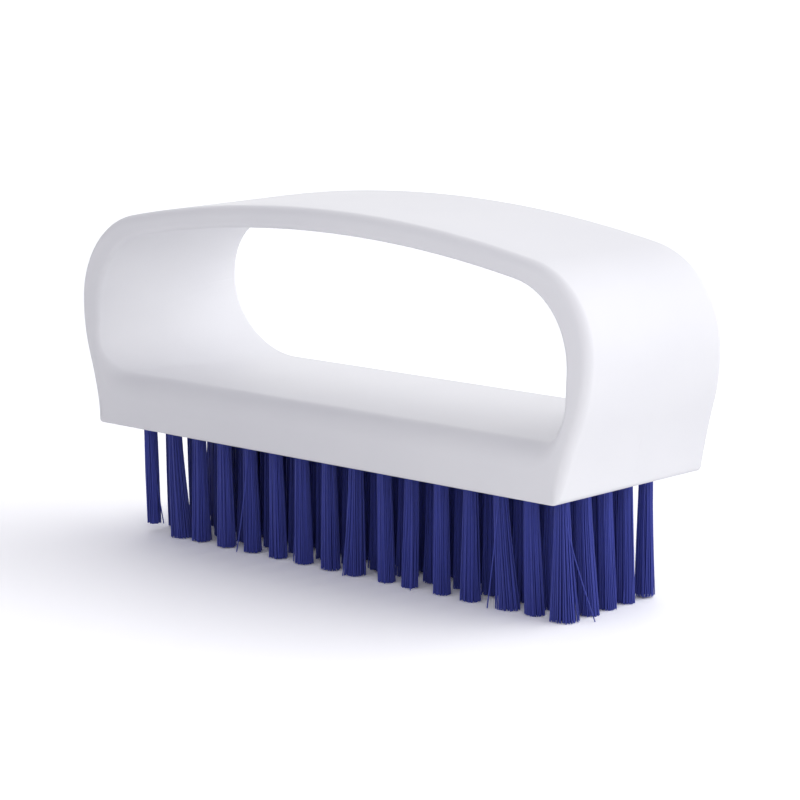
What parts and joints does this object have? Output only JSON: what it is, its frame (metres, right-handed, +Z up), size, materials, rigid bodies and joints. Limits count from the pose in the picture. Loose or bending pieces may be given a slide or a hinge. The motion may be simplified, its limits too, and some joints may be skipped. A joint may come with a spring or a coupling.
{
  "type": "nail brush",
  "caption": "Nail brush with a one-piece moulded loop handle over a finger gap and a flat block of stapled bristle tufts trimmed level for scrubbing nails.",
  "frame": {"origin": "on the surface under the bristle tips, below the middle of the block", "axes": "+X along the brush, +Y across it towards the back, +Z up from the bristle tips to the loop"},
  "size_m": [0.1098, 0.0332, 0.0573],
  "materials": {
    "handle": "satin moulded polypropylene",
    "bristle": "blue nylon filaments",
    "anchor": "flat drawn wire"
  },
  "bodies": {
    "root": {"handle": "handle", "tuft_column_01": "bristle", "tuft_column_02": "bristle", "tuft_column_03": "bristle", "tuft_column_04": "bristle", "tuft_column_05": "bristle", "tuft_column_06": "bristle", "tuft_column_07": "bristle", "tuft_column_08": "bristle", "tuft_column_09": "bristle", "tuft_column_10": "bristle", "tuft_column_11": "bristle", "tuft_column_12": "bristle", "tuft_column_13": "bristle", "tuft_column_14": "bristle", "tuft_column_15": "bristle", "tuft_column_16": "bristle", "anchor_column_01": "anchor", "anchor_column_02": "anchor", "anchor_column_03": "anchor", "anchor_column_04": "anchor", "anchor_column_05": "anchor", "anchor_column_06": "anchor", "anchor_column_07": "anchor", "anchor_column_08": "anchor", "anchor_column_09": "anchor", "anchor_column_10": "anchor", "anchor_column_11": "anchor", "anchor_column_12": "anchor", "anchor_column_13": "anchor", "anchor_column_14": "anchor", "anchor_column_15": "anchor", "anchor_column_16": "anchor"}
  },
  "joints": []
}
